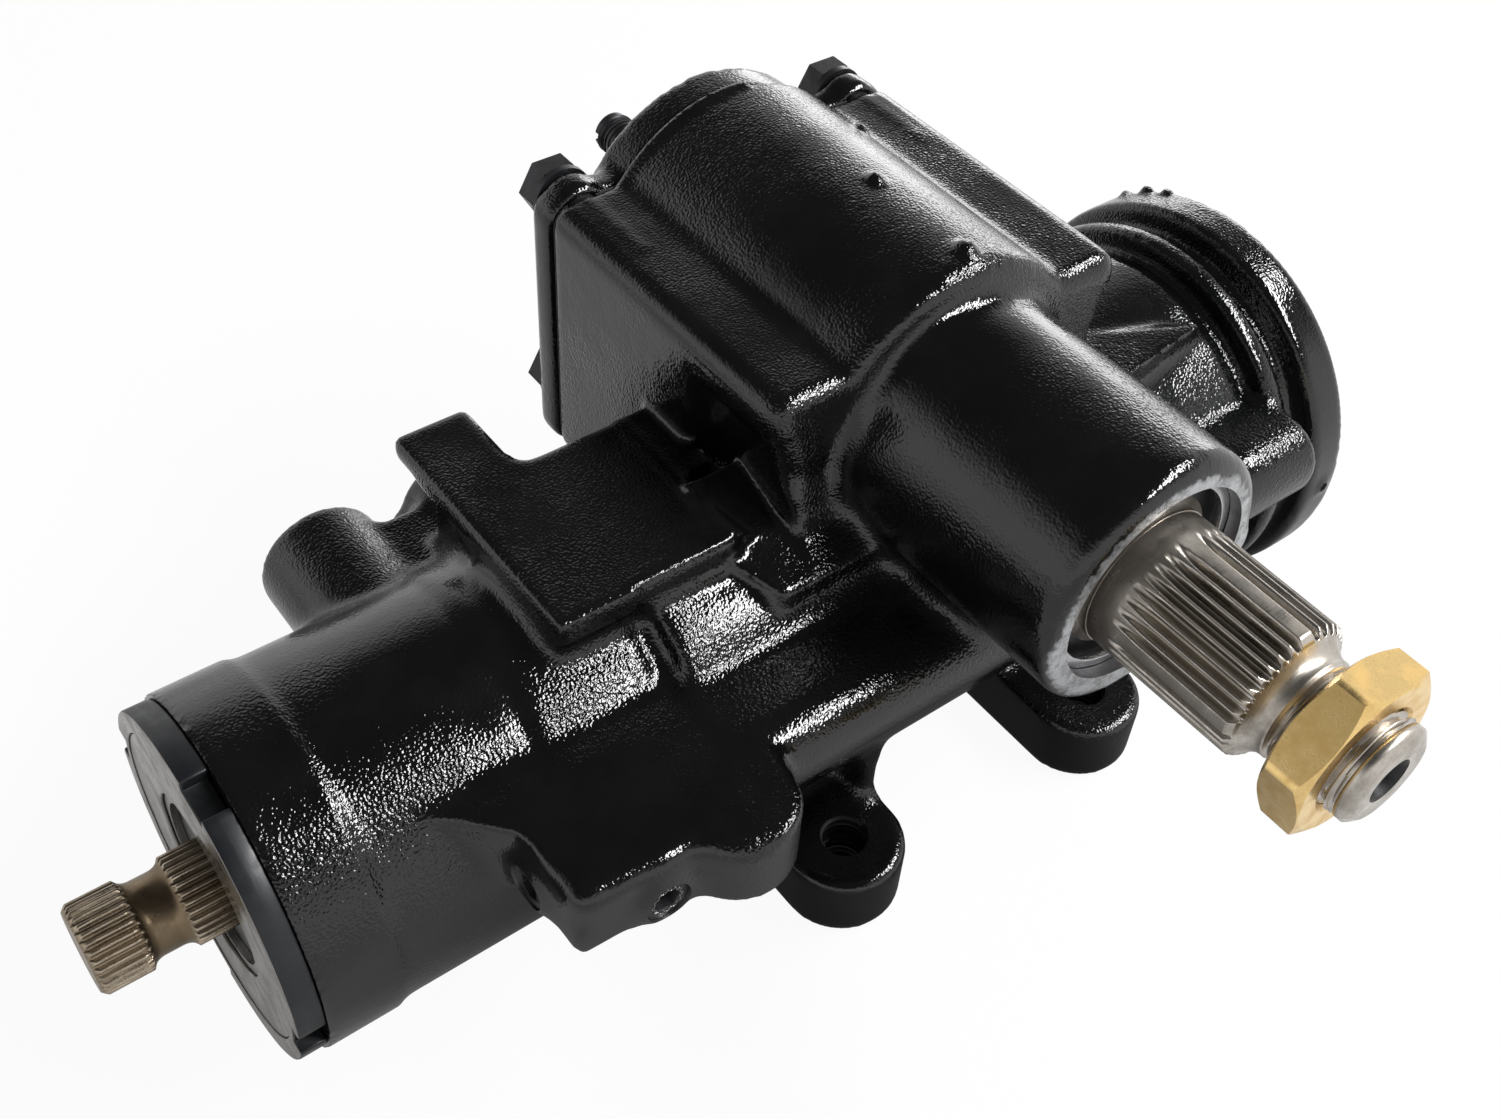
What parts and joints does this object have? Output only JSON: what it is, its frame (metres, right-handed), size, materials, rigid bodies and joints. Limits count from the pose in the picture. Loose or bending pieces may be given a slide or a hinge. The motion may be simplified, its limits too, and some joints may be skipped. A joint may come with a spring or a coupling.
{
  "type": "power steering gearbox",
  "caption": "Integral power steering gear: a splined input turns a worm, whose ball nut and rack piston swing a toothed sector shaft with a splined output.",
  "frame": {"origin": "centre of the four mounting holes, on the mounting face", "axes": "+X along the worm towards the end plug, -Y along the sector shaft towards its output, +Z away from the vehicle's frame rail"},
  "size_m": [0.3028, 0.2429, 0.1455],
  "materials": {
    "black_casting": "gloss black paint over a sand casting",
    "black_steel": "black oxide and paint",
    "bright_steel": "turned and rolled steel, lightly oiled",
    "zinc_steel": "yellow zinc plate",
    "stub_steel": "browned steel",
    "ground_steel": "ground",
    "machined_iron": "machined",
    "bearing_steel": "polished",
    "bronze": "machined",
    "seal_rubber": "moulded",
    "seal_plastic": "filled PTFE",
    "gasket_fibre": "pressed fibre"
  },
  "bodies": {
    "case": {"housing": "black_casting", "side_cover": "black_casting", "cover_gasket": "gasket_fibre", "cover_bolts": "black_steel", "cover_bushing": "bronze", "lash_adjuster_screw": "black_steel", "lash_lock_nut": "black_steel", "sector_needle_bearing": "bearing_steel", "sector_oil_seal": "seal_rubber", "seal_backup_washer": "ground_steel", "sector_dust_seal": "seal_rubber", "seal_retaining_ring": "ground_steel", "end_plug": "machined_iron", "end_plug_o_ring": "seal_rubber", "end_retaining_ring": "ground_steel", "adjuster_plug": "ground_steel", "adjuster_o_ring": "seal_rubber", "plug_lock_nut": "black_steel", "stub_needle_bearing": "bearing_steel", "stub_oil_seal": "seal_rubber", "stub_dust_seal": "seal_rubber", "stub_retaining_ring": "ground_steel", "upper_thrust_bearing": "bearing_steel", "lower_thrust_bearing": "bearing_steel", "pressure_port_seat": "bronze", "return_port_seat": "bronze", "gallery_plugs": "black_steel"},
    "sector": {"sector_shaft": "bright_steel", "pitman_nut": "zinc_steel", "lash_screw_retainer": "ground_steel"},
    "rack": {"rack_piston": "machined_iron", "piston_ring": "seal_plastic", "rack_end_plug": "machined_iron", "ball_guide": "ground_steel", "guide_clamp": "ground_steel", "guide_screws": "ground_steel", "recirculating_balls": "bearing_steel"},
    "worm": {"worm_shaft": "ground_steel", "valve_body": "ground_steel", "valve_rings": "seal_plastic", "torsion_bar": "ground_steel"},
    "input": {"stub_shaft": "stub_steel", "spool_valve": "ground_steel"}
  },
  "joints": [
    {"name": "sector_turn", "type": "hinge", "parent": "case", "child": "sector", "pos_m": [0, 0, 0.1095], "axis": [0, 1, 0], "range_deg": [-40, 40]},
    {"name": "rack_travel", "type": "slide", "parent": "case", "child": "rack", "axis": [1, 0, 0], "range_m": [-0.01956, 0.01956]},
    {"name": "worm_turn", "type": "hinge", "parent": "case", "child": "worm", "pos_m": [0, 0, 0.0565], "axis": [1, 0, 0], "range_deg": [-555, 555]},
    {"name": "input_twist", "type": "hinge", "parent": "worm", "child": "input", "pos_m": [-0.193, 0, 0.0565], "axis": [1, 0, 0], "range_deg": [-4, 4], "stiffness_Nm_per_rad": 60}
  ],
  "couplings": [
    {"joint": "rack_travel", "follows": "sector_turn", "m_per_rad": -0.028},
    {"joint": "worm_turn", "follows": "sector_turn", "ratio": 13.852}
  ]
}
